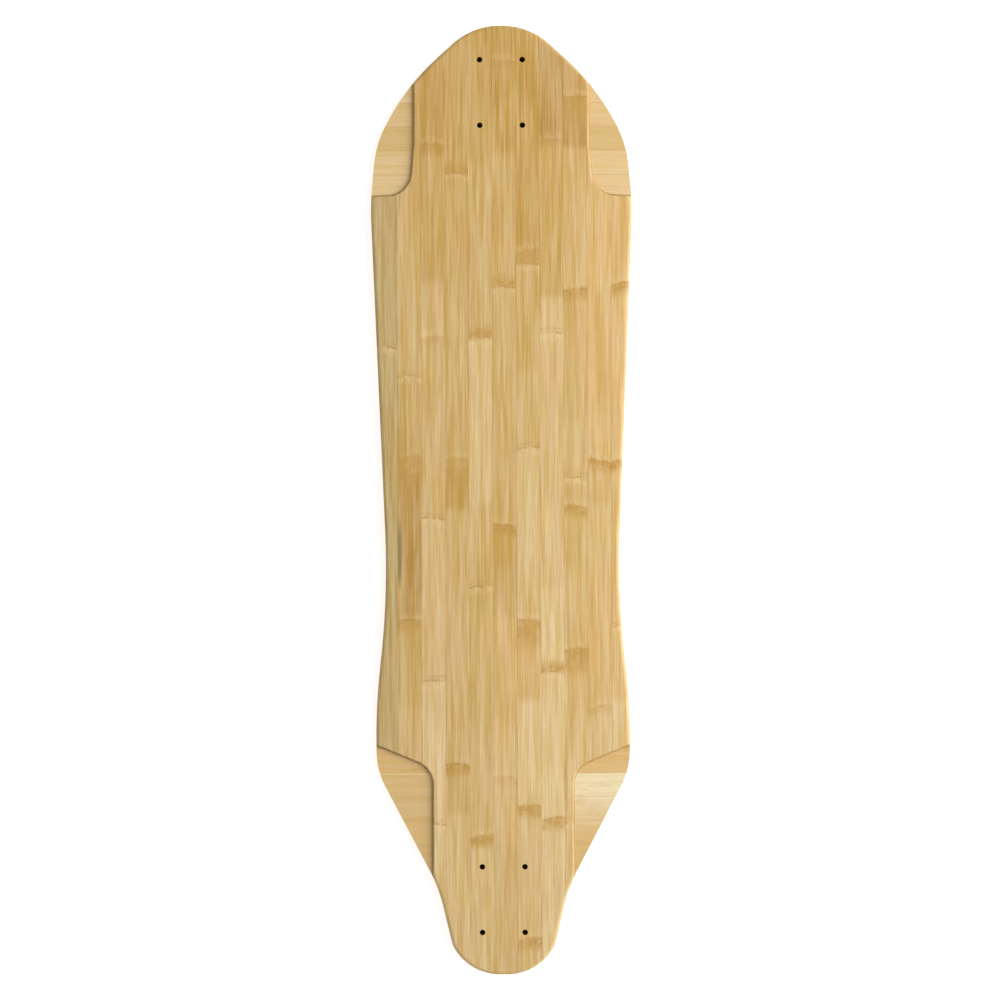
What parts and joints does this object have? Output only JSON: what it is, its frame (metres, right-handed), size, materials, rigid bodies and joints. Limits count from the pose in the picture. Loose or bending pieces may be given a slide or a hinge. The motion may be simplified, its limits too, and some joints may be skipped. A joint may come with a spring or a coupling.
{
  "type": "longboard deck",
  "caption": "Bamboo longboard deck for an electric or plain skateboard, drop-nose outline with four wheel wells and two truck bolt patterns.",
  "frame": {"origin": "middle of the deck's outline box, on the plane that the riding face lies on", "axes": "+Y to the nose, +X across the deck, +Z out of the underside, so the deck lies underside up"},
  "size_m": [0.253, 0.92, 0.013],
  "materials": {
    "bamboo_underside": "carbonised-light bamboo, grain lengthwise, thin satin lacquer",
    "bamboo_core": "bare bamboo, seen only on the edge, satin lacquer",
    "bamboo_cross": "bamboo, grain across, showing in the floors of the wheel wells",
    "bamboo_riding": "bamboo, grain lengthwise, thin satin lacquer"
  },
  "bodies": {
    "root": {"underside_strip_01": "bamboo_underside", "underside_strip_02": "bamboo_underside", "underside_strip_03": "bamboo_underside", "underside_strip_04": "bamboo_underside", "underside_strip_05": "bamboo_underside", "underside_strip_06": "bamboo_underside", "underside_strip_07": "bamboo_underside", "underside_strip_08": "bamboo_underside", "underside_strip_09": "bamboo_underside", "underside_strip_10": "bamboo_underside", "underside_strip_11": "bamboo_underside", "core_strip_01": "bamboo_core", "core_strip_02": "bamboo_core", "core_strip_03": "bamboo_core", "core_strip_04": "bamboo_core", "core_strip_05": "bamboo_core", "core_strip_06": "bamboo_core", "core_strip_07": "bamboo_core", "core_strip_08": "bamboo_core", "core_strip_09": "bamboo_core", "core_strip_10": "bamboo_core", "core_strip_11": "bamboo_core", "riding_strip_01": "bamboo_riding", "riding_strip_02": "bamboo_riding", "riding_strip_03": "bamboo_riding", "riding_strip_04": "bamboo_riding", "riding_strip_05": "bamboo_riding", "riding_strip_06": "bamboo_riding", "riding_strip_07": "bamboo_riding", "riding_strip_08": "bamboo_riding", "riding_strip_09": "bamboo_riding", "riding_strip_10": "bamboo_riding", "riding_strip_11": "bamboo_riding", "upper_cross_tail": "bamboo_cross", "upper_cross_rear_wells": "bamboo_cross", "upper_cross_waist": "bamboo_cross", "upper_cross_front_wells": "bamboo_cross", "upper_cross_nose": "bamboo_cross", "lower_cross_tail": "bamboo_cross", "lower_cross_rear_wells": "bamboo_cross", "lower_cross_waist": "bamboo_cross", "lower_cross_front_wells": "bamboo_cross", "lower_cross_nose": "bamboo_cross"}
  },
  "joints": []
}
